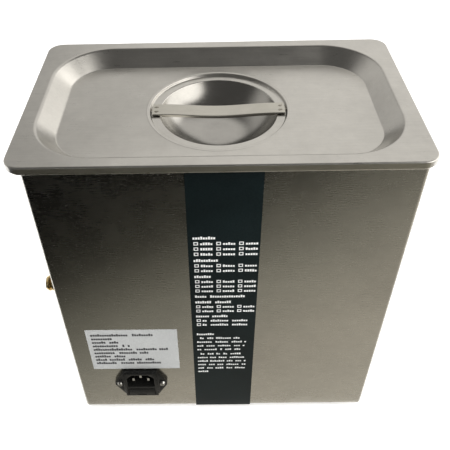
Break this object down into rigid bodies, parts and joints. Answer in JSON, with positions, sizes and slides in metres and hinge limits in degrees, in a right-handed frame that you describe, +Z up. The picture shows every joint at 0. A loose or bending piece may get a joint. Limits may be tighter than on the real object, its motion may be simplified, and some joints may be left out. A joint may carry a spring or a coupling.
{
  "type": "ultrasonic cleaner",
  "caption": "Bench ultrasonic cleaner: a stainless tank in a sheet-metal case, with a lift-off lid, basket, drain valve, front keys and a fused mains inlet at the rear.",
  "frame": {"origin": "on the floor, under the centre of the whole object's box", "axes": "+Z up; -Y the front with the controls; +Y the rear with the mains inlet; +X the side with the drain outlet"},
  "size_m": [0.3038, 0.172, 0.318],
  "materials": {
    "steel": "fine brushed stainless sheet",
    "plated": "bright nickel plate",
    "brass": "turned brass",
    "rubber": "matt black rubber",
    "dark_film": "dark printed film",
    "label": "white printed label",
    "black_plastic": "moulded black plastic",
    "aluminium": "turned aluminium",
    "ceramic": "fired piezo ceramic",
    "back_steel": "machined steel",
    "heater": "silicone rubber mat",
    "board": "glass-epoxy board",
    "core": "ferrite core with copper winding",
    "sleeve_blue": "printed sleeve",
    "relay": "moulded relay case",
    "wire": "insulated wire",
    "silicone": "translucent silicone",
    "ptfe": "white seat ring",
    "lever": "dipped black vinyl",
    "display": "dark red window",
    "led": "display block",
    "key_green": "moulded key",
    "key_red": "moulded key",
    "key_grey": "moulded key",
    "glass": "fuse glass"
  },
  "bodies": {
    "case": {"case_shell": "steel", "base_plate": "steel", "base_screws": "plated", "feet": "rubber", "foot_screws": "plated", "tank": "steel", "tank_gasket": "rubber", "transducer_horns": "aluminium", "piezo_rings": "ceramic", "piezo_electrodes": "brass", "transducer_backs": "back_steel", "transducer_bolts": "back_steel", "heater_pads": "heater", "temperature_sensor": "aluminium", "generator_board": "board", "board_spacers": "brass", "board_screws": "plated", "heatsink": "aluminium", "power_transistors": "black_plastic", "output_transformer": "core", "capacitors": "sleeve_blue", "relays": "relay", "earth_stud": "plated", "mains_wires": "wire", "transducer_wires": "wire", "control_board": "board", "tact_switches": "black_plastic", "display_module": "led", "display_window": "display", "front_strip": "dark_film", "inlet_housing": "black_plastic", "inlet_pins": "plated", "inlet_screws": "plated", "inlet_nuts": "plated", "rear_strip": "dark_film", "rating_label": "label", "drain_fitting": "brass", "drain_nut": "brass", "drain_hose": "silicone", "valve_body": "brass", "valve_seats": "ptfe", "outlet_barb": "brass", "outlet_locknut": "brass"},
    "lid": {"lid_pan": "steel", "lid_grip": "steel"},
    "basket": {"basket": "steel", "basket_handles": "steel"},
    "drain_lever": {"drain_lever": "lever", "valve_stem": "plated", "valve_ball": "plated"},
    "fuse_drawer": {"fuse_drawer": "black_plastic", "fuse": "glass"},
    "button_start": {"button_start": "key_green"},
    "button_heat": {"button_heat": "key_red"},
    "button_time_up": {"button_time_up": "key_grey"},
    "button_time_down": {"button_time_down": "key_grey"},
    "button_temp_up": {"button_temp_up": "key_grey"},
    "button_temp_down": {"button_temp_down": "key_grey"}
  },
  "joints": [
    {"name": "lid_lift", "type": "slide", "parent": "case", "child": "lid", "axis": [0, 0, 1], "range_m": [0, 0.3]},
    {"name": "basket_lift", "type": "slide", "parent": "case", "child": "basket", "axis": [0, 0, 1], "range_m": [0, 0.18]},
    {"name": "drain_turn", "type": "hinge", "parent": "case", "child": "drain_lever", "pos_m": [0.08912, -0.01, 0.133], "axis": [1, 0, 0], "range_deg": [0, 90]},
    {"name": "fuse_drawer_slide", "type": "slide", "parent": "case", "child": "fuse_drawer", "axis": [0, 1, 0], "range_m": [0, 0.02]},
    {"name": "button_start_press", "type": "slide", "parent": "case", "child": "button_start", "axis": [0, 1, 0], "range_m": [0, 0.0008], "stiffness_N_per_m": 500, "springref_m": -0.0008},
    {"name": "button_heat_press", "type": "slide", "parent": "case", "child": "button_heat", "axis": [0, 1, 0], "range_m": [0, 0.0008], "stiffness_N_per_m": 500, "springref_m": -0.0008},
    {"name": "button_time_up_press", "type": "slide", "parent": "case", "child": "button_time_up", "axis": [0, 1, 0], "range_m": [0, 0.0008], "stiffness_N_per_m": 500, "springref_m": -0.0008},
    {"name": "button_time_down_press", "type": "slide", "parent": "case", "child": "button_time_down", "axis": [0, 1, 0], "range_m": [0, 0.0008], "stiffness_N_per_m": 500, "springref_m": -0.0008},
    {"name": "button_temp_up_press", "type": "slide", "parent": "case", "child": "button_temp_up", "axis": [0, 1, 0], "range_m": [0, 0.0008], "stiffness_N_per_m": 500, "springref_m": -0.0008},
    {"name": "button_temp_down_press", "type": "slide", "parent": "case", "child": "button_temp_down", "axis": [0, 1, 0], "range_m": [0, 0.0008], "stiffness_N_per_m": 500, "springref_m": -0.0008}
  ],
  "couplings": [
    {"joint": "basket_lift", "follows": "lid_lift", "ratio": 0.6}
  ]
}
